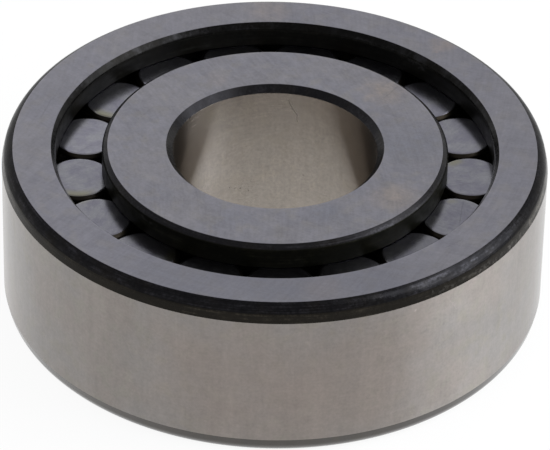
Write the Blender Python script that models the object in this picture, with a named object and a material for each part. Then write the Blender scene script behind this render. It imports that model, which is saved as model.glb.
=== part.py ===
"""Full-complement cylindrical roller bearing, 30 x 80 x 26 mm.

The outer ring has a rib at each end, which guides the rollers. The rollers fill the circle
between the two raceways and run with no cage. The inner ring has one rib, at the top, so
it can be drawn out upwards. The axis is +Z, the origin is the centre of the bottom face,
and lengths are in metres.
"""

import math

import bmesh
import bpy

MM = 0.001

# Boundary sizes
BORE_DIAMETER = 30.0 * MM
OUTSIDE_DIAMETER = 80.0 * MM
WIDTH = 26.0 * MM

# Ring wall and ribs
OUTER_RING_WALL = 5.85 * MM  # from the raceway to the outside
OUTER_RIB_HEIGHT = 2.08 * MM  # above the raceway
INNER_RIB_HEIGHT = 1.86 * MM
RIB_WIDTH = 3.7 * MM

# Rollers and their running clearances
ROLLER_COUNT = 17
FIRST_ROLLER_ANGLE = math.radians(81.7)
ROLLER_CORNER = 0.55 * MM
ROLLER_GAP = 0.10 * MM  # between neighbours
RACEWAY_CLEARANCE = 0.08 * MM  # to each raceway
RIB_CLEARANCE = 0.10 * MM  # from a roller's end to the rib

# Corners: the outside has a short lead taper below each chamfer
OUTSIDE_CHAMFER_RADIAL = 1.3 * MM
OUTSIDE_CHAMFER_AXIAL = 1.25 * MM
LEAD_TAPER_RADIAL = 0.3 * MM
LEAD_TAPER_AXIAL = 1.4 * MM
RIB_EDGE_RADIAL = 0.8 * MM
RIB_EDGE_AXIAL = 0.55 * MM
BORE_CHAMFER_RADIAL = 0.95 * MM
BORE_CHAMFER_AXIAL = 0.8 * MM
OPEN_END_CHAMFER_RADIAL = 0.8 * MM  # the inner ring's end with no rib
OPEN_END_CHAMFER_AXIAL = 1.6 * MM

# Grinding relief in the corner between a raceway and a rib
RELIEF_WIDTH = 0.8 * MM
RELIEF_DEPTH = 0.25 * MM

# Facets of the turned shapes
RING_FACETS = 96
ROLLER_FACETS = 32
SHARP_EDGE_ANGLE = math.radians(25)

# The largest rollers that fill the circle: neighbouring centres are one diameter and one
# gap apart, on a pitch circle that lies half a diameter inside the outer raceway.
OUTSIDE_RADIUS = OUTSIDE_DIAMETER / 2
OUTER_RACEWAY_RADIUS = OUTSIDE_RADIUS - OUTER_RING_WALL
ROLLER_REACH = OUTER_RACEWAY_RADIUS - RACEWAY_CLEARANCE
HALF_STEP_SINE = math.sin(math.pi / ROLLER_COUNT)
ROLLER_DIAMETER = (2 * ROLLER_REACH * HALF_STEP_SINE - ROLLER_GAP) / (1 + HALF_STEP_SINE)
PITCH_RADIUS = ROLLER_REACH - ROLLER_DIAMETER / 2
INNER_RACEWAY_RADIUS = ROLLER_REACH - ROLLER_DIAMETER - RACEWAY_CLEARANCE
ROLLER_LENGTH = WIDTH - 2 * (RIB_WIDTH + RIB_CLEARANCE)

# Colour as RGB, roughness and metallic value
OUTER_RING_FINISH = ((0.24, 0.23, 0.22), 0.35, 1.0)
INNER_RING_FINISH = ((0.21, 0.21, 0.23), 0.38, 1.0)
ROLLER_FINISH = ((0.26, 0.26, 0.26), 0.30, 1.0)


def clear_scene():
    for thing in list(bpy.data.objects):
        bpy.data.objects.remove(thing, do_unlink=True)


def steel(name, finish):
    colour, roughness, metallic = finish
    material = bpy.data.materials.new(name)
    material.use_nodes = True
    shader = material.node_tree.nodes["Principled BSDF"]
    shader.inputs["Base Color"].default_value = (*colour, 1.0)
    shader.inputs["Roughness"].default_value = roughness
    shader.inputs["Metallic"].default_value = metallic
    return material


def outer_ring_section():
    """Radius and height round the section: up over the top end, then its mirror image."""
    rib_radius = OUTER_RACEWAY_RADIUS - OUTER_RIB_HEIGHT
    relief_radius = OUTER_RACEWAY_RADIUS + RELIEF_DEPTH
    taper_radius = OUTSIDE_RADIUS - LEAD_TAPER_RADIAL
    taper_top = WIDTH - OUTSIDE_CHAMFER_AXIAL
    rib_floor = WIDTH - RIB_WIDTH
    relief_end = rib_floor - RELIEF_WIDTH
    top_half = [
        (OUTSIDE_RADIUS, taper_top - LEAD_TAPER_AXIAL),
        (taper_radius, taper_top),
        (taper_radius - OUTSIDE_CHAMFER_RADIAL, WIDTH),
        (rib_radius + RIB_EDGE_RADIAL, WIDTH),
        (rib_radius, WIDTH - RIB_EDGE_AXIAL),
        (rib_radius, rib_floor),
        (relief_radius, rib_floor),
        (relief_radius, relief_end),
        (OUTER_RACEWAY_RADIUS, relief_end),
    ]
    bottom_half = [(radius, WIDTH - height) for radius, height in reversed(top_half)]
    return top_half + bottom_half


def inner_ring_section():
    """Radius and height round the section: up the bore, out over the rib, down the raceway."""
    bore_radius = BORE_DIAMETER / 2
    bore_edge_radius = bore_radius + BORE_CHAMFER_RADIAL
    rib_radius = INNER_RACEWAY_RADIUS + INNER_RIB_HEIGHT
    relief_radius = INNER_RACEWAY_RADIUS - RELIEF_DEPTH
    rib_floor = WIDTH - RIB_WIDTH
    relief_end = rib_floor - RELIEF_WIDTH
    return [
        (bore_edge_radius, 0.0),
        (bore_radius, BORE_CHAMFER_AXIAL),
        (bore_radius, WIDTH - BORE_CHAMFER_AXIAL),
        (bore_edge_radius, WIDTH),
        (rib_radius - RIB_EDGE_RADIAL, WIDTH),
        (rib_radius, WIDTH - RIB_EDGE_AXIAL),
        (rib_radius, rib_floor),
        (relief_radius, rib_floor),
        (relief_radius, relief_end),
        (INNER_RACEWAY_RADIUS, relief_end),
        (INNER_RACEWAY_RADIUS, OPEN_END_CHAMFER_AXIAL),
        (INNER_RACEWAY_RADIUS - OPEN_END_CHAMFER_RADIAL, 0.0),
    ]


def finished_mesh(name, shape, material):
    """Turn a bmesh into a mesh that is smooth except at its machined edges."""
    bmesh.ops.recalc_face_normals(shape, faces=shape.faces)
    mesh = bpy.data.meshes.new(name)
    shape.to_mesh(mesh)
    shape.free()
    mesh.shade_smooth()
    mesh.set_sharp_from_angle(angle=SHARP_EDGE_ANGLE)
    mesh.materials.append(material)
    return mesh


def turned_ring(name, section, material):
    """Spin a closed section of radii and heights about the bearing's axis."""
    shape = bmesh.new()
    corners = [shape.verts.new((radius, 0.0, height)) for radius, height in section]
    sides = [shape.edges.new(pair) for pair in zip(corners, corners[1:] + corners[:1])]
    bmesh.ops.spin(
        shape,
        geom=corners + sides,
        cent=(0.0, 0.0, 0.0),
        axis=(0.0, 0.0, 1.0),
        angle=math.tau,
        steps=RING_FACETS,
        use_merge=True,
    )
    return finished_mesh(name, shape, material)


def roller_mesh(material):
    """A straight roller about its own centre, with both rims chamfered."""
    shape = bmesh.new()
    bmesh.ops.create_cone(
        shape,
        cap_ends=True,
        segments=ROLLER_FACETS,
        radius1=ROLLER_DIAMETER / 2,
        radius2=ROLLER_DIAMETER / 2,
        depth=ROLLER_LENGTH,
    )
    rims = [e for e in shape.edges if e.verts[0].co.z * e.verts[1].co.z > 0]
    bmesh.ops.bevel(
        shape,
        geom=rims,
        offset=ROLLER_CORNER,
        offset_type="OFFSET",
        segments=1,
        affect="EDGES",
    )
    return finished_mesh("roller", shape, material)


def add_object(name, mesh=None):
    """Link a new object to the scene: an empty where there is no mesh."""
    thing = bpy.data.objects.new(name, mesh)
    bpy.context.scene.collection.objects.link(thing)
    return thing


def add_rollers():
    """One object per roller, each on its own axis, carried round by an empty on the main axis."""
    carrier = add_object("roller_set")
    mesh = roller_mesh(steel("roller_steel", ROLLER_FINISH))
    for number in range(ROLLER_COUNT):
        angle = FIRST_ROLLER_ANGLE + number * math.tau / ROLLER_COUNT
        roller = add_object(f"roller_{number + 1:02d}", mesh)
        roller.parent = carrier
        roller.rotation_euler.z = angle
        roller.location = (
            PITCH_RADIUS * math.cos(angle),
            PITCH_RADIUS * math.sin(angle),
            WIDTH / 2,
        )


def main():
    clear_scene()
    outer_steel = steel("outer_ring_steel", OUTER_RING_FINISH)
    add_object("outer_ring", turned_ring("outer_ring", outer_ring_section(), outer_steel))
    inner_steel = steel("inner_ring_steel", INNER_RING_FINISH)
    add_object("inner_ring", turned_ring("inner_ring", inner_ring_section(), inner_steel))
    add_rollers()


main()
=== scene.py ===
import math

import bpy
from mathutils import Matrix, Vector


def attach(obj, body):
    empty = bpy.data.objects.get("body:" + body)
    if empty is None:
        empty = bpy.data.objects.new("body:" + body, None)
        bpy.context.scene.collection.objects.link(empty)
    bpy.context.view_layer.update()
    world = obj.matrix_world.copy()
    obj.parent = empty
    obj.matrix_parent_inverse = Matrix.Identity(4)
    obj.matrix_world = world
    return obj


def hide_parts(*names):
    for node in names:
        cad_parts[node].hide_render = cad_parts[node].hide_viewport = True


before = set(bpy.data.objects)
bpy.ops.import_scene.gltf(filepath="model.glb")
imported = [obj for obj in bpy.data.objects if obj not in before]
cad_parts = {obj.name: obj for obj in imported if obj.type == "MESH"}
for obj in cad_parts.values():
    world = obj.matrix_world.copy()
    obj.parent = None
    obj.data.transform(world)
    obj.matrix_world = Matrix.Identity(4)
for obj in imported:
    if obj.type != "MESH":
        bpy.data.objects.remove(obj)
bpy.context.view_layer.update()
print("frame:", len(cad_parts), "CAD nodes")

mm = 0.001


# Sockets in sums: an expression adds the Math nodes it needs
class Wire:
    def __init__(self, tree, socket=None):
        self.tree = tree
        self.socket = socket

    def node(self, kind, settings=None, sockets=None, output=0):
        made = self.tree.nodes.new(kind)
        for name, value in (settings or {}).items():
            setattr(made, name, value)
        for key, value in (sockets or {}).items():
            if isinstance(value, Wire):
                self.tree.links.new(value.socket, made.inputs[key])
            else:
                made.inputs[key].default_value = value
        return Wire(self.tree, made.outputs[output])

    def out(self, output):
        return Wire(self.tree, self.socket.node.outputs[output])

    def sum(self, operation, first, second):
        return self.node("ShaderNodeMath", {"operation": operation}, {0: first, 1: second})

    def __add__(self, other):
        return self.sum("ADD", self, other)

    def __radd__(self, other):
        return self.sum("ADD", other, self)

    def __sub__(self, other):
        return self.sum("SUBTRACT", self, other)

    def __rsub__(self, other):
        return self.sum("SUBTRACT", other, self)

    def __mul__(self, other):
        return self.sum("MULTIPLY", self, other)

    def __rmul__(self, other):
        return self.sum("MULTIPLY", other, self)

    def __truediv__(self, other):
        return self.sum("DIVIDE", self, other)

    def __pow__(self, other):
        return self.sum("POWER", self, other)


def newFinish(name, constants):
    material = bpy.data.materials.new(name)
    material.use_nodes = True
    tree = material.node_tree
    shader = tree.nodes["Principled BSDF"]
    for socket, value in constants.items():
        shader.inputs[socket].default_value = value
    return material, Wire(tree), shader


def plug(wire, shader, sockets):
    for name, value in sockets.items():
        wire.tree.links.new(value.socket, shader.inputs[name])


# Shared bits of the finishes. Lengths are in mm.
grainNoise = {"size": 0.42, "detail": 2.0, "rough": 0.65}
mottleNoise = {"size": 1.5, "detail": 3.0, "rough": 0.6}
hairlineEdge = {"size": 0.8, "reach": 0.3}
tintClouds = {"detail": 3.0, "range": (-0.14, 0.14), "smallShare": 0.22, "smallRange": (-0.04, 0.22)}
fullShare = 0.2  # of a mark's size: inside it the mark has its whole strength


def placeInMm(wire):
    return scaled(wire, wire.node("ShaderNodeTexCoord", output="Object"), 1.0 / mm)


def roundAxis(wire, place):
    parts = wire.node("ShaderNodeSeparateXYZ", None, {0: place})
    x, y, z = parts, parts.out("Y"), parts.out("Z")
    radius = (x * x + y * y) ** 0.5
    return x / radius, y / radius, z, radius


def cloud(wire, place, size, detail=2.0, rough=0.5):
    return wire.node("ShaderNodeTexNoise", {"noise_dimensions": "3D"},
                     {"Vector": place, "Scale": 1.0 / size, "Detail": detail, "Roughness": rough}) - 0.5


def noise(wire, x, y, z, detail=3.0, rough=0.6):
    return cloud(wire, wire.node("ShaderNodeCombineXYZ", None, {0: x, 1: y, 2: z}), 1.0, detail, rough)


def ease(wire, value, start, end):
    return wire.node("ShaderNodeMapRange", {"interpolation_type": "SMOOTHSTEP"},
                     {"Value": value, "From Min": start, "From Max": end, "To Min": 0.0, "To Max": 1.0})


def vectorSum(wire, operation, first, second, output=0):
    return wire.node("ShaderNodeVectorMath", {"operation": operation}, {0: first, 1: second}, output)


def scaled(wire, vector, amount):
    # a place or a colour
    return wire.node("ShaderNodeVectorMath", {"operation": "SCALE"}, {0: vector, "Scale": amount})


def mixed(wire, factor, first, second):
    return wire.node("ShaderNodeMix", {"data_type": "RGBA"}, {0: factor, 6: first, 7: second}, 2)


def ragged(wire, place, size, reach):
    # the same place pushed about, so that a mark gets an uneven edge
    push = wire.node("ShaderNodeTexNoise", {"noise_dimensions": "3D"},
                     {"Vector": place, "Scale": 1.0 / size, "Detail": 2.0}, "Color")
    push = vectorSum(wire, "SUBTRACT", push, (0.5, 0.5, 0.5))
    return vectorSum(wire, "ADD", place, scaled(wire, push, reach))


def faded(wire, marks):
    # each mark: distance from it, size and strength
    total = None
    for apart, size, strength in marks:
        mask = (1.0 - ease(wire, apart, size * fullShare, size)) * strength
        total = mask if total is None else total + mask
    return total


def spots(wire, place, marks):
    # each mark: place, size and strength
    return faded(wire, [(vectorSum(wire, "DISTANCE", place, (x, y, z), "Value"), size, strength)
                        for x, y, z, size, strength in marks])


def fromLine(wire, place, start, end):
    run = Vector(end) - Vector(start)
    offset = vectorSum(wire, "SUBTRACT", place, start)
    share = vectorSum(wire, "DOT_PRODUCT", offset, run, "Value") / run.length_squared
    share = wire.sum("MINIMUM", wire.sum("MAXIMUM", share, 0.0), 1.0)
    return vectorSum(wire, "DISTANCE", offset, scaled(wire, run, share), "Value")


def scratches(wire, place, lines):
    # each line: start, end, half width and strength
    return faded(wire, [(fromLine(wire, place, start, end), width, strength)
                        for start, end, width, strength in lines])


def mottled(wire, place, look):
    # three close tints of one steel, in broad and in small clouds
    size = look["tintSize"]
    broad = ease(wire, cloud(wire, place, size, tintClouds["detail"]), *tintClouds["range"])
    small = ease(wire, cloud(wire, place, size * tintClouds["smallShare"]), *tintClouds["smallRange"])
    return mixed(wire, small, mixed(wire, broad, look["tint"], look["otherTint"]), look["thirdTint"])


def bumped(wire, height, distance):
    return wire.node("ShaderNodeBump", None, {"Height": height, "Distance": distance * mm, "Strength": 1.0})


# Modelling helpers. Lengths are in mm.
holdLoop = 0.12  # between a rounded corner and the loop that keeps the side beside it flat
weldReach = 0.002  # joins the last loop of a closed section to the first
cornerReach = 0.004  # from a corner of the section to the points of its edge
smoothAngle = 38  # degrees


def deselectAll():
    if bpy.context.object and bpy.context.object.mode != "OBJECT":
        bpy.ops.object.mode_set(mode="OBJECT")
    bpy.ops.object.select_all(action="DESELECT")


def selectOnly(piece):
    deselectAll()
    piece.select_set(True)
    bpy.context.view_layer.objects.active = piece


def withHoldLoops(corners, closed):
    loops, sides = [], []
    count = len(corners)
    for number, (radius, height, rounding, finish) in enumerate(corners):
        loops.append((radius, height))
        if number == count - 1 and not closed:
            break
        nextRadius, nextHeight, nextRounding, _ = corners[(number + 1) % count]
        length = math.hypot(nextRadius - radius, nextHeight - height)
        holds = [rounding + holdLoop, length - nextRounding - holdLoop]
        if holds[1] - holds[0] < holdLoop:
            holds = []
        for distance in holds:
            share = distance / length
            loops.append((radius + (nextRadius - radius) * share, height + (nextHeight - height) * share))
        sides += [finish] * (len(holds) + 1)
    return loops, sides


def turnPiece(name, look, closed=True):
    # a circle is drawn along the section, side by side, as on a lathe
    deselectAll()
    loops, sides = withHoldLoops(look["corners"], closed)
    radius, height = loops[0]
    bpy.ops.mesh.primitive_circle_add(vertices=look["steps"], radius=radius * mm,
                                      location=(0, 0, height * mm))
    piece = bpy.context.object
    piece.name = piece.data.name = name
    bpy.ops.object.transform_apply(location=True, rotation=True, scale=True)
    bpy.ops.object.mode_set(mode="EDIT")
    bpy.ops.mesh.select_mode(type="EDGE")
    bpy.ops.mesh.select_all(action="SELECT")
    for newRadius, newHeight in loops[1:] + (loops[:1] if closed else []):
        bpy.ops.mesh.extrude_edges_move(TRANSFORM_OT_translate={"value": (0, 0, (newHeight - height) * mm)})
        ratio = newRadius / radius
        bpy.ops.transform.resize(value=(ratio, ratio, 1.0), center_override=(0, 0, newHeight * mm))
        radius, height = newRadius, newHeight
    bpy.ops.mesh.select_all(action="SELECT")
    if closed:
        bpy.ops.mesh.remove_doubles(threshold=weldReach * mm)
    else:
        bpy.ops.mesh.fill_holes(sides=0)
    bpy.ops.mesh.select_all(action="SELECT")
    bpy.ops.mesh.normals_make_consistent(inside=False)
    bpy.ops.object.mode_set(mode="OBJECT")
    return piece, sides


def paintSides(piece, sides, steps, finishes):
    # the extruded sides lie in the mesh in the order they were drawn; caps come last
    names = list(finishes)
    for finish in finishes.values():
        piece.data.materials.append(finish)
    for face in piece.data.polygons:
        side = min(face.index // steps, len(sides) - 1)
        face.material_index = names.index(sides[side])


def roundCorners(piece, look):
    for radius, height, rounding, _ in look["corners"]:
        if not rounding:
            continue
        mesh = piece.data
        for part in (mesh.vertices, mesh.edges, mesh.polygons):
            part.foreach_set("select", [False] * len(part))
        near = [abs(math.hypot(v.co.x, v.co.y) - radius * mm) + abs(v.co.z - height * mm) < cornerReach * mm
                for v in mesh.vertices]
        for edge in mesh.edges:
            if near[edge.vertices[0]] and near[edge.vertices[1]]:
                edge.select = True
        bpy.ops.object.mode_set(mode="EDIT")
        bpy.ops.mesh.select_mode(type="EDGE")
        bpy.ops.mesh.bevel(offset=rounding * mm, offset_type="OFFSET", segments=look["roundSteps"],
                           profile=0.5, affect="EDGES", clamp_overlap=False)
        bpy.ops.object.mode_set(mode="OBJECT")


def smoothPiece(piece):
    selectOnly(piece)
    bpy.ops.object.mode_set(mode="EDIT")
    bpy.ops.mesh.select_all(action="SELECT")
    bpy.ops.mesh.normals_make_consistent(inside=False)
    bpy.ops.object.mode_set(mode="OBJECT")
    bpy.ops.object.shade_smooth_by_angle(angle=math.radians(smoothAngle))


# Ground steel on a side that runs round the axis: outside, lower taper, bore and raceways.
# Turns are rates of change round the axis, rises are rates per mm along it.
roundGrinding = {
    "smearTurn": 0.25, "coatRoughness": 0.15,
    "lineTurns": 3.0, "bandTurns": 9.0, "bandRise": 0.03, "bandRough": 0.55,
    "streakRise": 0.14, "streakDetail": 2.0,
    "patches": {"size": 8.0, "detail": 3.0, "rough": 0.5},
    "stainEdge": {"size": 4.0, "reach": 5.0}, "speckEdge": {"size": 0.5, "reach": 0.5},
    "lineRoughness": 0.08, "patchRoughness": 0.10, "speckRoughness": 0.15,
    "lineHeight": 0.6, "grainHeight": 0.4, "streakHeight": 0.3,
}


def groundRound(name, look):
    how = roundGrinding
    material, wire, shader = newFinish(name, {
        "Metallic": 1.0, "Anisotropic": look["smear"], "Anisotropic Rotation": how["smearTurn"],
        "Coat Weight": look["oilFilm"], "Coat Roughness": how["coatRoughness"],
        "Specular Tint": (look.get("edgeShade", 1.0),) * 3 + (1,),
    })
    place = placeInMm(wire)
    alongX, alongY, z, _ = roundAxis(wire, place)
    turns, bandTurns, streakTurns = how["lineTurns"], how["bandTurns"], look["streakRate"]
    lines = noise(wire, alongX * turns, alongY * turns, z * look["lineRate"])
    bands = noise(wire, alongX * bandTurns, alongY * bandTurns, z * how["bandRise"], rough=how["bandRough"])
    streaks = noise(wire, alongX * streakTurns, alongY * streakTurns, z * how["streakRise"],
                    how["streakDetail"])
    grain = cloud(wire, place, **grainNoise)
    mottle = cloud(wire, place, **mottleNoise)
    patches = cloud(wire, place, **how["patches"])
    tone = (1.0 + lines * look["lines"] + bands * look["bands"] + streaks * look["streaks"]
            + grain * look["grain"] + mottle * look["mottle"] + patches * look["patches"])
    rough = look["roughness"] + lines * how["lineRoughness"] + patches * how["patchRoughness"]
    height = lines * how["lineHeight"] + grain * how["grainHeight"] + streaks * how["streakHeight"]
    tint = mottled(wire, place, look)
    if look.get("stains"):
        marks = spots(wire, ragged(wire, place, **how["stainEdge"]), look["stains"])
        tint = mixed(wire, marks, tint, look["stainTint"])
    if look.get("specks"):
        uneven = ragged(wire, place, **how["speckEdge"])
        marks = spots(wire, uneven, look["specks"]) + scratches(wire, uneven, look["scratches"])
        tone = tone * (1.0 - marks)
        rough = rough + marks * how["speckRoughness"]
    plug(wire, shader, {
        "Base Color": scaled(wire, tint, tone),
        "Roughness": rough,
        "Normal": bumped(wire, height, look["bump"]),
    })
    return material


# Ground steel on a flat end: two sets of crossing arcs from the grinding wheel
flatGrinding = {
    "arcTurns": 14.0, "secondArcs": 0.7,
    "patches": {"size": 6.0, "detail": 4.0, "rough": 0.55},
    "markEdge": {"size": 2.0, "reach": 3.0}, "markStrength": 0.8, "markMottle": 2.0,
    "arcRoughness": 0.07, "patchRoughness": 0.12,
    "arcHeights": (0.6, 0.4), "grainHeight": 0.4,
}


def groundFlat(name, look):
    how = flatGrinding
    material, wire, shader = newFinish(name, {"Metallic": 1.0})
    place = placeInMm(wire)
    turns = how["arcTurns"]
    arcs = []
    for centre, rate in look["arcs"]:
        alongX, alongY, _, reach = roundAxis(wire, vectorSum(wire, "SUBTRACT", place, centre))
        arcs.append(noise(wire, alongX * turns, alongY * turns, reach * rate))
    grain = cloud(wire, place, **grainNoise)
    mottle = cloud(wire, place, **mottleNoise)
    patches = cloud(wire, place, **how["patches"])
    tone = (1.0 + arcs[0] * look["lines"] + arcs[1] * (look["lines"] * how["secondArcs"])
            + grain * look["grain"] + mottle * look["mottle"] + patches * look["patches"])
    height = arcs[0] * how["arcHeights"][0] + arcs[1] * how["arcHeights"][1] + grain * how["grainHeight"]
    uneven = ragged(wire, place, **how["markEdge"])
    tint = mottled(wire, place, look)
    for marks, markTint in (("stains", "stainTint"), ("blues", "blueTint")):
        if look.get(marks):
            strength = spots(wire, uneven, look[marks]) * (how["markStrength"] + mottle * how["markMottle"])
            tint = mixed(wire, strength, tint, look[markTint])
    if look.get("hairlines"):
        tone = tone * (1.0 - scratches(wire, ragged(wire, place, **hairlineEdge), look["hairlines"]))
    plug(wire, shader, {
        "Base Color": scaled(wire, tint, tone),
        "Roughness": look["roughness"] + arcs[0] * how["arcRoughness"] + patches * how["patchRoughness"],
        "Normal": bumped(wire, height, look["bump"]),
    })
    return material


# Black heat-treatment scale left on turned corners
scaleMarks = {
    "turnedTurns": 2.0, "turnedRate": 4.0, "turnedSlope": (0.73, 0.68),  # of height and radius
    "rubbedTurns": 14.0, "rubbedRate": 0.9,
    "grain": {"size": 0.5, "detail": 3.0, "rough": 0.65},
    "patches": {"size": 5.0, "detail": 3.0, "rough": 0.6},
    "brownRange": (-0.1, 0.25), "streakRange": (0.0, 0.34), "wornRange": (-0.10, 0.18),
    "rubbedStreaks": 0.7, "grainStreaks": 0.5, "rubbedTone": 0.9,
    "scuffEdge": {"size": 0.7, "reach": 0.9},
    "turnedRoughness": 0.16, "grainRoughness": 0.30, "rubbedShine": 0.4,
    "turnedHeight": 0.7, "grainHeight": 0.3, "wornDepth": 0.5,
}


def blackScale(name, look):
    how = scaleMarks
    material, wire, shader = newFinish(name, {
        "Metallic": look.get("metal", 0.0),
        "Specular IOR Level": look["shine"], "Specular Tint": look["glossTint"],
    })
    place = placeInMm(wire)
    alongX, alongY, z, radius = roundAxis(wire, place)
    turns, rubbedTurns = how["turnedTurns"], how["rubbedTurns"]
    slope = z * how["turnedSlope"][0] - radius * how["turnedSlope"][1]
    turned = noise(wire, alongX * turns, alongY * turns, slope * how["turnedRate"])
    rubbed = noise(wire, alongX * rubbedTurns, alongY * rubbedTurns, (z - radius) * how["rubbedRate"])
    grain = cloud(wire, place, **how["grain"])
    patches = cloud(wire, place, **how["patches"])
    colour = mixed(wire, ease(wire, patches, *how["brownRange"]), look["tint"], look["brownTint"])
    streaks = turned + rubbed * how["rubbedStreaks"] + grain * how["grainStreaks"]
    colour = mixed(wire, ease(wire, streaks, *how["streakRange"]), colour, look["streakTint"])
    colour = scaled(wire, colour, 1.0 + turned + grain + rubbed * how["rubbedTone"])
    worn = scratches(wire, ragged(wire, place, **how["scuffEdge"]), look["scuffs"])
    worn = worn * ease(wire, grain + rubbed, *how["wornRange"])
    rough = look["roughness"] + turned * how["turnedRoughness"] + grain * how["grainRoughness"]
    height = turned * how["turnedHeight"] + grain * how["grainHeight"] - worn * how["wornDepth"]
    plug(wire, shader, {
        "Base Color": mixed(wire, worn, colour, look["bareTint"]),
        "Roughness": rough - rubbed * how["rubbedShine"],
        "Normal": bumped(wire, height, look["bump"]),
    })
    if "metal" not in look:
        plug(wire, shader, {"Metallic": worn})
    return material


# Camera at the photographed angle
viewpoint = {
    "lens": 300.75, "sensor": 36.0, "aim": (0.226, 0.0, 11.571), "distance": 680.78,  # mm
    "azimuth": 0.03, "elevation": 35.794, "roll": 1.262,  # degrees
    "clipEnd": 20.0,  # m
}


def addCamera(look):
    deselectAll()
    turn, lift = math.radians(look["azimuth"]), math.radians(look["elevation"])
    forward = Vector((math.sin(turn) * math.cos(lift), math.cos(turn) * math.cos(lift), -math.sin(lift)))
    bpy.ops.object.camera_add(location=(Vector(look["aim"]) - forward * look["distance"]) * mm)
    camera = bpy.context.object
    camera.name = "camera"
    camera.rotation_euler = forward.to_track_quat("-Z", "Y").to_euler()
    camera.rotation_euler.rotate_axis("Z", math.radians(look["roll"]))
    camera.data.lens = look["lens"]
    camera.data.sensor_width = look["sensor"]
    camera.data.sensor_fit = "HORIZONTAL"
    camera.data.clip_end = look["clipEnd"]
    bpy.context.scene.camera = camera


addCamera(viewpoint)
print("camera: in place")


# Finishes that both rings have: the raceways, and the rib sides that guide the rollers
raceway = {
    "tint": (0.30, 0.29, 0.28, 1), "otherTint": (0.29, 0.285, 0.28, 1), "thirdTint": (0.30, 0.285, 0.26, 1),
    "tintSize": 12.0, "roughness": 0.24, "smear": 0.5, "oilFilm": 0.3,
    "lineRate": 3.0, "lines": 0.20, "bands": 0.08, "streaks": 0.06, "grain": 0.12,
    "mottle": 0.08, "patches": 0.08, "bump": 0.003,
}
guide = {
    "tint": (0.25, 0.25, 0.26, 1), "otherTint": (0.24, 0.235, 0.24, 1), "thirdTint": (0.255, 0.245, 0.24, 1),
    "tintSize": 8.0, "stainTint": (0.27, 0.24, 0.22, 1),
    "roughness": 0.30, "lines": 0.20, "grain": 0.20, "mottle": 0.12, "patches": 0.12, "bump": 0.003,
    "arcs": [((0.0, 0.0, 0.0), 3.0), ((0.5, 0.3, 0.0), 2.4)],
}


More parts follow.
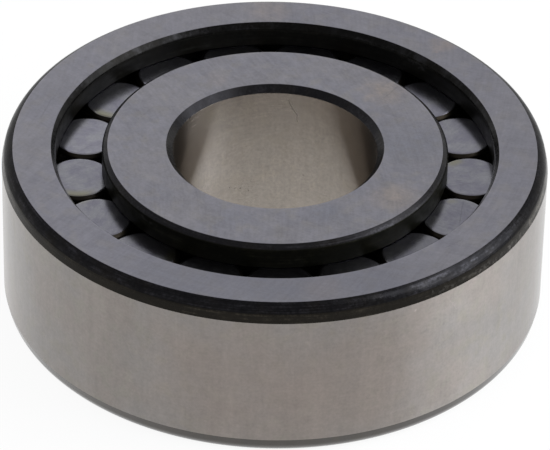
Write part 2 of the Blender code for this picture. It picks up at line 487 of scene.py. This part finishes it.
# Outer ring: a rib at each end, ground outside and ends, scale left on the corners
outerRing = {
    "steps": 256, "roundSteps": 4,
    # radius, height, rounding of the corner, finish of the side that follows
    "corners": [
        (40.00, 23.35, 0.00, "taper"),
        (39.70, 24.75, 0.40, "scale"),
        (39.12, 25.58, 0.42, "scale"),
        (38.40, 26.00, 0.08, "end"),
        (32.80, 26.00, 0.05, "edge"),
        (32.07, 25.06, 0.34, "wall"),
        (32.07, 22.30, 0.10, "guide"),
        (34.40, 22.30, 0.14, "scale"),
        (34.40, 21.50, 0.12, "scale"),
        (34.15, 21.50, 0.08, "raceway"),
        (34.15, 4.50, 0.08, "scale"),
        (34.40, 4.50, 0.12, "scale"),
        (34.40, 3.70, 0.14, "guide"),
        (32.07, 3.70, 0.10, "wall"),
        (32.07, 0.94, 0.34, "edge"),
        (32.80, 0.00, 0.05, "end"),
        (38.40, 0.00, 0.08, "scale"),
        (39.12, 0.42, 0.42, "lowTaper"),
        (39.70, 1.25, 0.40, "lowTaper"),
        (40.00, 2.65, 0.00, "outside"),
    ],
    "outside": {
        "tint": (0.252, 0.235, 0.223, 1), "otherTint": (0.262, 0.233, 0.213, 1),
        "thirdTint": (0.254, 0.235, 0.208, 1), "tintSize": 10.0, "stainTint": (0.267, 0.224, 0.199, 1),
        "roughness": 0.40, "smear": 0.92, "oilFilm": 0.7,
        "lineRate": 2.2, "lines": 0.15, "bands": 0.26, "streakRate": 70.0, "streaks": 0.14, "grain": 0.34,
        "mottle": 0.28, "patches": 0.16, "bump": 0.004,
        "stains": [(-6.0, -39.5, 12.0, 17.0, 0.6), (12.0, -38.2, 12.0, 17.0, 0.6),
                   (-9.0, 39.0, 12.0, 16.0, 0.6)],
        "specks": [(20.24, -34.50, 22.15, 0.30, -0.35), (5.06, -39.68, 20.01, 0.5, -0.14)],
        "scratches": [((24.6, -31.5, 22.6), (26.2, -30.2, 19.4), 0.16, -0.10),
                      ((25.6, -30.7, 22.8), (25.9, -30.5, 18.0), 0.14, 0.08),
                      ((-21.0, -34.0, 16.0), (-19.5, -34.9, 12.6), 0.16, 0.10),
                      ((12.0, 38.2, 15.0), (14.6, 37.2, 11.0), 0.18, 0.12)],
    },
    "end": {
        "tint": (0.217, 0.213, 0.237, 1), "otherTint": (0.224, 0.218, 0.235, 1),
        "thirdTint": (0.229, 0.221, 0.231, 1), "tintSize": 11.0,
        "stainTint": (0.278, 0.241, 0.222, 1), "blueTint": (0.180, 0.180, 0.204, 1),
        "roughness": 0.33, "lines": 0.30, "grain": 0.28, "mottle": 0.30, "patches": 0.20, "bump": 0.004,
        "arcs": [((-95.0, 30.0, 0.0), 2.0), ((60.0, 120.0, 0.0), 2.4)],
        "stains": [(24.95, 27.58, 26.0, 3.0, 0.7), (23.56, 25.61, 26.0, 0.8, 0.8),
                   (6.92, -34.99, 26.0, 4.0, 0.5), (-1.48, 35.93, 26.0, 4.5, 0.5),
                   (-30.0, 18.0, 0.0, 5.0, 0.6), (22.0, -28.0, 0.0, 4.0, 0.6)],
        "blues": [(-33.0, 12.0, 26.0, 5.0, 0.5), (-14.0, -32.0, 26.0, 11.0, 0.7),
                  (0.0, -34.5, 26.0, 11.0, 0.8), (14.0, -32.0, 26.0, 11.0, 0.7),
                  (30.0, 18.0, 0.0, 6.0, 0.5)],
        "hairlines": [((24.5, -24.6, 26.0), (27.0, -22.5, 26.0), 0.15, 0.10),
                      ((-34.5, 6.0, 26.0), (-33.4, 10.5, 26.0), 0.16, 0.10),
                      ((10.0, 33.4, 0.0), (15.0, 32.6, 0.0), 0.18, 0.12)],
    },
    "raceway": {**raceway, "streakRate": 60.0},
    "guide": {**guide, "stains": [(20.0, 26.0, 3.7, 4.0, 0.5)]},
    "scale": {
        "tint": (0.0126, 0.0123, 0.0134, 1), "brownTint": (0.0150, 0.0138, 0.0128, 1),
        "streakTint": (0.0240, 0.0230, 0.0262, 1), "bareTint": (0.048, 0.048, 0.054, 1), "metal": 1.0,
        "roughness": 0.29, "shine": 0.115, "glossTint": (0.70, 0.70, 0.70, 1), "bump": 0.018,
        "scuffs": [((19.78, -33.73, 25.40), (21.99, -32.33, 25.20), 0.75, 0.20),
                   ((23.30, -31.40, 25.40), (23.70, -31.10, 25.30), 0.60, 0.16),
                   ((25.79, -29.39, 25.40), (27.79, -27.50, 25.30), 0.80, 0.12),
                   ((29.40, -25.80, 25.30), (29.60, -25.50, 25.30), 0.40, 0.16),
                   ((32.07, -22.37, 25.90), (31.93, -22.57, 24.80), 0.40, 0.20),
                   ((-28.6, -26.4, 25.3), (-27.2, -27.9, 25.3), 0.6, 0.14),
                   ((-24.0, 30.6, 0.6), (-21.5, 32.5, 0.6), 0.7, 0.20),
                   ((22.98, -31.63, 25.6), (26.16, -29.06, 25.6), 0.35, 0.22),
                   ((25.10, -29.98, 25.35), (29.30, -25.89, 25.4), 0.30, 0.18),
                   ((28.13, -27.16, 25.6), (30.39, -24.61, 25.6), 0.40, 0.22),
                   ((31.00, -23.83, 25.4), (34.20, -18.96, 25.4), 0.30, 0.20),
                   ((33.16, -20.72, 25.6), (35.40, -16.60, 25.6), 0.35, 0.16)],
    },
    "edge": {
        "tint": (0.0080, 0.0078, 0.0076, 1), "brownTint": (0.0094, 0.0088, 0.0080, 1),
        "streakTint": (0.0150, 0.0146, 0.0156, 1), "bareTint": (0.048, 0.048, 0.054, 1), "metal": 1.0,
        "roughness": 0.24, "shine": 0.115, "glossTint": (0.92, 0.92, 0.92, 1), "bump": 0.010,
        "scuffs": [((20.0, 25.6, 25.6), (22.0, 23.9, 25.4), 0.5, 0.15)],
    },
    "wall": {
        "tint": (0.0035, 0.0034, 0.0030, 1), "brownTint": (0.0060, 0.0054, 0.0042, 1),
        "streakTint": (0.009, 0.009, 0.008, 1), "bareTint": (0.15, 0.15, 0.16, 1),
        "roughness": 0.48, "shine": 0.085, "glossTint": (1.0, 0.98, 0.95, 1), "bump": 0.012,
        "scuffs": [((20.0, 25.0, 24.6), (22.0, 23.3, 24.3), 0.5, 0.15)],
    },
    "taper": {
        "tint": (0.0040, 0.0034, 0.0027, 1), "brownTint": (0.0080, 0.0066, 0.0048, 1),
        "streakTint": (0.022, 0.019, 0.014, 1), "bareTint": (0.20, 0.19, 0.18, 1),
        "roughness": 0.26, "shine": 0.15, "glossTint": (1.0, 0.92, 0.80, 1), "bump": 0.012,
        "scuffs": [((22.6, -32.8, 24.2), (23.4, -32.2, 24.1), 0.3, 0.15),
                   ((23.43, -32.25, 23.9), (29.61, -26.70, 23.9), 0.5, 0.12),
                   ((29.61, -26.70, 23.9), (33.82, -21.13, 23.9), 0.6, 0.14),
                   ((33.82, -21.13, 23.9), (36.98, -14.94, 23.9), 0.7, 0.18),
                   ((36.98, -14.94, 23.9), (39.02, -8.29, 23.9), 0.7, 0.2),
                   ((-37.49, -13.65, 23.9), (-39.47, -6.0, 23.9), 0.6, 0.16)],
    },
    # lower taper: ground steel painted far darker than the outside, as painted shade of the crevice where
    # the ring stands on the floor
    "lowTaper": {
        "tint": (0.052, 0.044, 0.038, 1), "otherTint": (0.047, 0.042, 0.037, 1),
        "thirdTint": (0.050, 0.043, 0.034, 1), "tintSize": 8.0,
        "roughness": 0.34, "smear": 0.5, "oilFilm": 0.8,
        "lineRate": 3.0, "lines": 0.30, "bands": 0.30, "streakRate": 40.0, "streaks": 0.15, "grain": 0.25,
        "mottle": 0.25, "patches": 0.25, "bump": 0.006,
    },
}


def addOuterRing(look):
    piece, sides = turnPiece("outerRing", look)
    paintSides(piece, sides, look["steps"], {
        "outside": groundRound("ringOutside", look["outside"]),
        "end": groundFlat("ringEnd", look["end"]),
        "scale": blackScale("ringScale", look["scale"]),
        "edge": blackScale("ringRibEdge", look["edge"]),
        "wall": blackScale("ringRibWall", look["wall"]),
        "taper": blackScale("ringTaper", look["taper"]),
        "lowTaper": groundRound("ringLowTaper", look["lowTaper"]),
        "raceway": groundRound("outerRaceway", look["raceway"]),
        "guide": groundFlat("outerRibGuide", look["guide"]),
    })
    roundCorners(piece, look)
    smoothPiece(piece)
    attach(piece, "outer_ring")
    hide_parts("outer_ring")
    return piece


print("outer ring:", len(addOuterRing(outerRing).data.polygons), "faces")


# Inner ring: one rib at the top, plain bore
innerRing = {
    "steps": 224, "roundSteps": 4,
    "corners": [
        (15.97, 0.00, 0.05, "scale"),
        (15.00, 1.00, 0.05, "bore"),
        (15.00, 25.00, 0.05, "scale"),
        (15.97, 26.00, 0.05, "end"),
        (24.557, 26.00, 0.06, "scale"),
        (25.357, 25.45, 0.30, "wall"),
        (25.357, 22.30, 0.10, "guide"),
        (23.247, 22.30, 0.14, "scale"),
        (23.247, 21.50, 0.12, "scale"),
        (23.497, 21.50, 0.08, "raceway"),
        (23.497, 1.60, 0.20, "scale"),
        (22.697, 0.00, 0.10, "end"),
    ],
    "bore": {
        "tint": (0.323, 0.287, 0.254, 1), "otherTint": (0.321, 0.290, 0.258, 1),
        "thirdTint": (0.323, 0.289, 0.251, 1), "tintSize": 10.0, "stainTint": (0.321, 0.290, 0.243, 1),
        "roughness": 0.25, "smear": 0.98, "oilFilm": 0.0, "edgeShade": 0.5,
        "lineRate": 3.2, "lines": 0.26, "bands": 0.18, "streakRate": 34.0, "streaks": 0.14, "grain": 0.42,
        "mottle": 0.22, "patches": 0.12, "bump": 0.0012,
        "stains": [(-9.0, 12.0, 23.0, 3.0, 0.5), (6.0, -13.7, 8.0, 5.0, 0.6)],
        "specks": [(-6.76, 13.39, 8.71, 0.22, 0.35), (-5.9, 13.79, 8.3, 0.20, 0.30),
                   (-5.1, 14.1, 8.1, 0.22, 0.40), (-3.9, 14.49, 7.45, 0.20, 0.30),
                   (4.4, 14.34, 10.6, 0.25, 0.25)],
        "scratches": [((1.86, 14.88, 23.79), (2.53, 14.78, 22.29), 0.17, 0.30),
                      ((2.53, 14.78, 22.29), (3.08, 14.68, 21.43), 0.17, 0.32),
                      ((3.08, 14.68, 21.43), (3.25, 14.64, 20.19), 0.16, 0.26)],
    },
    "end": {
        "tint": (0.221, 0.217, 0.239, 1), "otherTint": (0.229, 0.222, 0.237, 1),
        "thirdTint": (0.235, 0.226, 0.231, 1), "tintSize": 9.0,
        "stainTint": (0.289, 0.254, 0.231, 1), "blueTint": (0.190, 0.194, 0.223, 1),
        "roughness": 0.33, "lines": 0.32, "grain": 0.34, "mottle": 0.34, "patches": 0.22, "bump": 0.004,
        "arcs": [((-80.0, -20.0, 0.0), 2.2), ((75.0, 95.0, 0.0), 2.0)],
        "stains": [(16.09, 14.84, 26.0, 5.0, 0.8), (17.27, -12.60, 26.0, 4.8, 0.8),
                   (-9.0, 17.0, 26.0, 2.5, 0.3), (-14.0, -14.0, 0.0, 3.4, 0.6)],
        "blues": [(7.4, -16.9, 26.0, 3.4, 0.6), (10.3, -19.0, 26.0, 2.4, 0.4), (-6.0, -18.5, 26.0, 3.0, 0.3),
                  (20.3, 1.0, 26.0, 8.0, 0.6), (12.0, 15.0, 0.0, 4.0, 0.5)],
        "hairlines": [((18.01, 15.87, 26.0), (16.02, 12.79, 26.0), 0.18, 0.14),
                      ((15.05, 16.13, 26.0), (16.69, 15.66, 26.0), 0.15, 0.12),
                      ((13.40, 11.82, 26.0), (15.03, 12.15, 26.0), 0.15, 0.10),
                      ((-20.2, 6.0, 26.0), (-18.0, 9.4, 26.0), 0.15, 0.08)],
    },
    "raceway": {**raceway, "streakRate": 50.0},
    "guide": {**guide, "stains": [(20.0, 14.0, 22.3, 4.0, 0.5)]},
    "scale": {
        "tint": (0.0044, 0.0044, 0.0048, 1), "brownTint": (0.0080, 0.0070, 0.0056, 1),
        "streakTint": (0.0130, 0.0125, 0.0138, 1), "bareTint": (0.20, 0.20, 0.22, 1),
        "roughness": 0.27, "shine": 0.115, "glossTint": (0.95, 0.91, 1.0, 1), "bump": 0.018,
        "scuffs": [((13.44, -21.20, 25.50), (17.05, -18.42, 25.50), 0.45, 0.14),
                   ((17.05, -18.42, 25.50), (20.43, -14.58, 25.50), 0.40, 0.12)],
    },
    "wall": {
        "tint": (0.0036, 0.0037, 0.0025, 1), "brownTint": (0.0062, 0.0057, 0.0034, 1),
        "streakTint": (0.010, 0.010, 0.007, 1), "bareTint": (0.15, 0.15, 0.16, 1),
        "roughness": 0.48, "shine": 0.085, "glossTint": (1.0, 0.99, 0.86, 1), "bump": 0.012,
        "scuffs": [((-18.6, -17.0, 24.9), (-17.4, -18.2, 24.6), 0.5, 0.14)],
    },
}


def addInnerRing(look):
    piece, sides = turnPiece("innerRing", look)
    paintSides(piece, sides, look["steps"], {
        "bore": groundRound("ringBore", look["bore"]),
        "end": groundFlat("innerEnd", look["end"]),
        "scale": blackScale("innerScale", look["scale"]),
        "wall": blackScale("innerRibWall", look["wall"]),
        "raceway": groundRound("innerRaceway", look["raceway"]),
        "guide": groundFlat("innerRibGuide", look["guide"]),
    })
    roundCorners(piece, look)
    smoothPiece(piece)
    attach(piece, "inner_ring")
    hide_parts("inner_ring")
    return piece


print("inner ring:", len(addInnerRing(innerRing).data.polygons), "faces")


# Rollers: one is turned, and copied to each place
rollers = {
    "count": 17, "pitchRadius": 28.823665, "firstAngle": 81.7,
    "steps": 96, "roundSteps": 3,
    "corners": [
        (4.00, 3.80, 0.00, "end"),
        (4.696, 3.80, 0.20, "rim"),
        (5.246, 4.35, 0.20, "body"),
        (5.246, 21.65, 0.20, "rim"),
        (4.696, 22.20, 0.20, "end"),
        (4.00, 22.20, 0.00, "end"),
    ],
    "body": {"tint": (0.30, 0.265, 0.21, 1), "otherTint": (0.28, 0.25, 0.20, 1),
             "roughness": 0.20, "bump": 0.003},
    "end": {"tint": (0.232, 0.230, 0.244, 1), "otherTint": (0.204, 0.199, 0.230, 1),
            "roughness": 0.20, "bump": 0.004},
    # rim: near black, painted shade for the dark gaps between the rollers
    "rim": {"tint": (0.014, 0.012, 0.010, 1), "otherTint": (0.018, 0.015, 0.011, 1),
            "roughness": 0.38, "bump": 0.003},
    # how bright each roller is: partly its own tone, partly painted shade, darker on most front rollers (08
    # to 13) where the inner rib shades them
    "tonesAndShade": [1.0, 1.0, 1.04, 1.04, 1.11, 0.97, 0.95, 0.90, 0.94,
              1.0, 0.96, 0.72, 0.88, 0.95, 1.0, 1.04, 0.97],
    # from one roller to the next, the marks are turned (radians) and shifted (mm)
    "markTurn": 2.4, "markShift": 60.0,
    "lineTurns": 2.0, "lineRate": 2.4, "streakRates": (0.4, 3.2, 0.1),
    "patches": {"size": 2.6, "detail": 3.0, "rough": 0.6},
    "lineTone": 0.20, "streakTone": 0.30, "grainTone": 0.30, "patchTone": 0.40,
    "patchRoughness": 0.12, "lineRoughness": 0.06, "lineHeight": 0.6, "grainHeight": 0.4,
    "oilTint": (0.170, 0.158, 0.092, 1), "oilRoughness": 0.08,
    # the oil lies near the rim of an end: it begins and stops between these radii
    "oilStart": (2.9, 4.3), "oilStop": (4.62, 4.80), "oilEdge": {"size": 0.8, "reach": 0.8},
    "oil": [(-25.5, 12.7, 22.2, 2.6, 0.9), (-28.6, -7.9, 22.2, 3.4, 0.8), (26.6, 1.9, 22.2, 1.8, 0.8),
            (25.8, -8.1, 22.2, 1.2, 0.5), (-14.9, -22.6, 22.2, 2.0, 0.9)],
    "hairlines": [((27.54, -7.89, 22.2), (26.86, -13.14, 22.2), 0.14, 0.14),
                  ((26.02, -3.92, 22.2), (29.40, -3.03, 22.2), 0.14, 0.10),
                  ((-29.4, 2.0, 22.2), (-27.0, 4.6, 22.2), 0.14, 0.10)],
}


def rollerFinish(name, look, how):
    material, wire, shader = newFinish(name, {"Metallic": 1.0, "Coat Roughness": how["oilRoughness"]})
    place = placeInMm(wire)
    own = wire.node("ShaderNodeAttribute", {"attribute_name": "ownPlace"}, None, "Vector")
    # each roller's own tone together with its painted shade
    ownToneAndShade = wire.node("ShaderNodeAttribute", {"attribute_name": "ownToneAndShade"}, None, "Fac")
    alongX, alongY, z, radius = roundAxis(wire, own)
    turns = how["lineTurns"]
    lines = noise(wire, alongX * turns, alongY * turns, (z + radius) * how["lineRate"])
    across = wire.node("ShaderNodeSeparateXYZ", None, {0: own})
    rateX, rateY, rateZ = how["streakRates"]
    streaks = noise(wire, across * rateX, across.out("Y") * rateY, z * rateZ)
    grain = cloud(wire, own, **grainNoise)
    patches = cloud(wire, own, **how["patches"])
    tint = mixed(wire, ease(wire, patches, *tintClouds["range"]), look["otherTint"], look["tint"])
    tone = ownToneAndShade * (1.0 + lines * how["lineTone"] + streaks * how["streakTone"]
                      + grain * how["grainTone"] + patches * how["patchTone"])
    tone = tone * (1.0 - scratches(wire, ragged(wire, place, **hairlineEdge), how["hairlines"]))
    film = spots(wire, ragged(wire, place, **how["oilEdge"]), how["oil"])
    film = film * ease(wire, radius, *how["oilStart"]) * (1.0 - ease(wire, radius, *how["oilStop"]))
    plug(wire, shader, {
        "Base Color": mixed(wire, film, scaled(wire, tint, tone), how["oilTint"]),
        "Roughness": look["roughness"] + patches * how["patchRoughness"] + lines * how["lineRoughness"],
        "Coat Weight": film,
        "Normal": bumped(wire, lines * how["lineHeight"] + grain * how["grainHeight"], look["bump"]),
    })
    return material


def addRollers(look):
    pattern, sides = turnPiece("roller", look, closed=False)
    paintSides(pattern, sides, look["steps"], {
        part: rollerFinish("roller" + part.capitalize(), look[part], look) for part in ("body", "end", "rim")
    })
    roundCorners(pattern, look)
    smoothPiece(pattern)
    copies = []
    for number in range(look["count"]):
        selectOnly(pattern)
        bpy.ops.object.duplicate(linked=False)
        piece = bpy.context.object
        piece.name = piece.data.name = f"roller{number + 1:02d}"
        turned = Matrix.Rotation(look["markTurn"] * number, 3, "Z")
        shift = Vector((0, 0, look["markShift"] * number))
        own = piece.data.attributes.new("ownPlace", "FLOAT_VECTOR", "POINT")
        for vertex, spot in zip(piece.data.vertices, own.data):
            spot.vector = turned @ (vertex.co / mm) + shift
        # each roller keeps its tone and painted shade as it moves
        tonesAndShade = piece.data.attributes.new("ownToneAndShade", "FLOAT", "POINT")
        tonesAndShade.data.foreach_set("value", [look["tonesAndShade"][number]] * len(tonesAndShade.data))
        angle = math.radians(look["firstAngle"] + number * 360.0 / look["count"])
        reach = look["pitchRadius"] * mm
        bpy.ops.transform.translate(value=(reach * math.cos(angle), reach * math.sin(angle), 0))
        bpy.ops.object.transform_apply(location=True, rotation=True, scale=True)
        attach(piece, f"roller_{number + 1:02d}")
        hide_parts(f"roller_{number + 1:02d}")
        copies.append(piece)
    bpy.data.objects.remove(pattern, do_unlink=True)
    return copies


print("rollers:", len(addRollers(rollers)))


# Studio: pale floor, soft sky that is darker behind the camera and overhead, a wide soft box on the right
# and a small one behind
studio = {
    "floorSize": 8.0, "floorTint": (0.95, 0.95, 0.95, 1), "floorGlow": 0.93,
    "shade": (16.0, 18.0, 36.0, 39.0),  # mm from the axis: the floor under the rings has no glow
    # light that the left of the bore throws back on the floor, seen only in reflections
    "boreLight": [(11.0, 10.5, 0.0, 10.5, 1.0)], "boreLightTint": (1.66, 1.70, 1.78, 1),
    "skyBack": (0.80, 0.81, 0.85, 1), "skyFront": (0.60, 0.60, 0.62, 1), "skyTop": (0.60, 0.60, 0.62, 1),
    "rimBack": (1.0, 1.0, 1.0, 1), "rimFront": (0.75, 0.75, 0.75, 1),
    # where the sky passes from front to back (Y), and from the rim to the middle and on to the top (Z)
    "skyTurn": (-0.8, 0.7), "rimTurn": (-0.9, 0.0), "rimRise": (0.08, 0.5), "topRise": (0.66, 0.95),
    # place, width and height in m, power in W, tint
    "boxes": {
        "softBox": ((0.572, -0.04, 0.402), 0.58, 0.65, 5.4, (0.94, 0.97, 1.0)),
        "backBox": ((-0.22, 0.53, 0.28), 0.40, 0.24, 0.1, (0.97, 0.98, 1.0)),
    },
    "boxAim": (0, 0, 0.015),
}


def addFloor(look):
    deselectAll()
    bpy.ops.mesh.primitive_plane_add(size=look["floorSize"], location=(0, 0, 0))
    floor = bpy.context.object
    floor.name = "floor"
    material = bpy.data.materials.new("paleFloor")
    material.use_nodes = True
    tree = material.node_tree
    tree.nodes.clear()
    wire = Wire(tree)
    rays = wire.node("ShaderNodeLightPath", output="Is Camera Ray")
    mirrored = rays.out("Is Glossy Ray")
    seen = wire.sum("MAXIMUM", rays, wire.sum("MAXIMUM", mirrored, rays.out("Is Transmission Ray")))
    matt = wire.node("ShaderNodeBsdfDiffuse", None, {"Color": look["floorTint"]})
    place = placeInMm(wire)
    thrown = spots(wire, place, look["boreLight"]) * mirrored
    thrown = mixed(wire, thrown, (1, 1, 1, 1), look["boreLightTint"])
    white = wire.node("ShaderNodeEmission", None, {"Color": thrown, "Strength": 1.0})
    radius = roundAxis(wire, place)[3]
    inner, innerEnd, outer, outerEnd = look["shade"]
    covered = ease(wire, radius, inner, innerEnd) * (1.0 - ease(wire, radius, outer, outerEnd))
    glow = seen * look["floorGlow"] * (1.0 - covered)
    both = wire.node("ShaderNodeMixShader", None, {0: glow, 1: matt, 2: white})
    sheet = tree.nodes.new("ShaderNodeOutputMaterial")
    tree.links.new(both.socket, sheet.inputs["Surface"])
    floor.data.materials.append(material)


def addLight(look):
    world = bpy.data.worlds.new("sky")
    bpy.context.scene.world = world
    world.use_nodes = True
    wire = Wire(world.node_tree)
    toward = wire.node("ShaderNodeTexCoord", output="Generated")
    toward = wire.node("ShaderNodeSeparateXYZ", None, {0: toward})
    back, up = toward.out("Y"), toward.out("Z")
    sky = mixed(wire, ease(wire, back, *look["skyTurn"]), look["skyFront"], look["skyBack"])
    rim = mixed(wire, ease(wire, back, *look["rimTurn"]), look["rimFront"], look["rimBack"])
    sky = mixed(wire, ease(wire, up, *look["topRise"]), sky, look["skyTop"])
    sky = mixed(wire, ease(wire, up, *look["rimRise"]), rim, sky)
    world.node_tree.links.new(sky.socket, world.node_tree.nodes["Background"].inputs["Color"])
    for name, (where, width, height, power, tint) in look["boxes"].items():
        deselectAll()
        bpy.ops.object.light_add(type="AREA", location=where)
        box = bpy.context.object
        box.name = name
        box.rotation_euler = (Vector(look["boxAim"]) - box.location).to_track_quat("-Z", "Y").to_euler()
        box.data.shape = "RECTANGLE"
        box.data.size, box.data.size_y = width, height
        box.data.energy = power
        box.data.color = tint


addFloor(studio)
addLight(studio)
bpy.context.scene.view_settings.view_transform = "Standard"
print("studio: floor and light")
